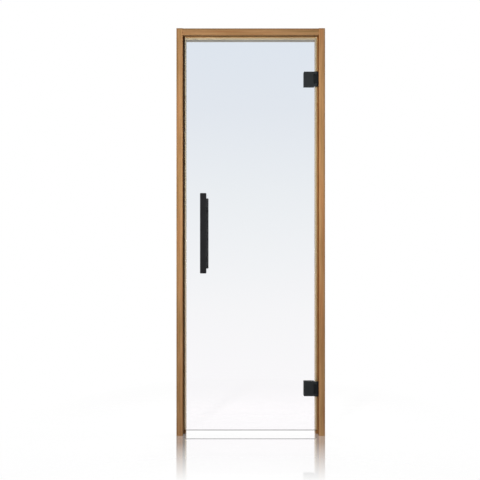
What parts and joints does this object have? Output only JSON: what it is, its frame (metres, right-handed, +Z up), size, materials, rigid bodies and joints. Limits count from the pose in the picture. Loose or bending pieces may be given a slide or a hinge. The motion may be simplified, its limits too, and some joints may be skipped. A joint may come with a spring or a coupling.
{
  "type": "sauna door",
  "caption": "Single glass sauna door in a timber frame, with side clamp hinges, a through-glass pull handle with an upright bar on each side, and a silicone seal in the stop.",
  "frame": {"origin": "on the outer face of the hinge-side jamb, at floor level, halfway through the frame's depth", "axes": "+Z up, +X out of the hinge-side jamb, +Y from the front of the frame to the back"},
  "size_m": [0.69, 0.123, 1.89],
  "materials": {
    "frame_timber": "oiled heat-treated timber with a fine straight grain",
    "seal_silicone": "matt beige silicone",
    "pane_glass": "clear polished toughened glass",
    "hinge_black": "satin black powder coat",
    "pin_steel": "turned steel",
    "screw_steel": "blackened steel",
    "stud_steel": "plain steel",
    "bush_plastic": "black nylon",
    "gasket_rubber": "matt black fibre and rubber",
    "handle_black": "satin black powder coat"
  },
  "bodies": {
    "frame": {"latch_jamb": "frame_timber", "hinge_jamb": "frame_timber", "head_rail": "frame_timber", "latch_seal": "seal_silicone", "hinge_seal": "seal_silicone", "head_seal": "seal_silicone", "upper_hinge_frame_leaf": "hinge_black", "upper_hinge_bushes": "bush_plastic", "lower_hinge_frame_leaf": "hinge_black", "lower_hinge_bushes": "bush_plastic"},
    "leaf": {"glass_pane": "pane_glass", "upper_hinge_front_plate": "hinge_black", "upper_hinge_back_plate": "hinge_black", "lower_hinge_front_plate": "hinge_black", "lower_hinge_back_plate": "hinge_black", "upper_hinge_pin": "pin_steel", "lower_hinge_pin": "pin_steel", "upper_hinge_clamp_screws": "screw_steel", "lower_hinge_clamp_screws": "screw_steel", "upper_handle_stud": "stud_steel", "lower_handle_stud": "stud_steel", "upper_hinge_front_gasket": "gasket_rubber", "upper_hinge_back_gasket": "gasket_rubber", "lower_hinge_front_gasket": "gasket_rubber", "lower_hinge_back_gasket": "gasket_rubber", "upper_outer_handle_washer": "gasket_rubber", "upper_inner_handle_washer": "gasket_rubber", "lower_outer_handle_washer": "gasket_rubber", "lower_inner_handle_washer": "gasket_rubber", "outer_handle_bar": "handle_black", "inner_handle_bar": "handle_black", "upper_outer_handle_post": "handle_black", "upper_inner_handle_post": "handle_black", "lower_outer_handle_post": "handle_black", "lower_inner_handle_post": "handle_black"}
  },
  "joints": [
    {"name": "leaf_hinge", "type": "hinge", "parent": "frame", "child": "leaf", "pos_m": [-0.04, -0.0245, 0], "axis": [0, 0, 1], "range_deg": [0, 110]}
  ]
}
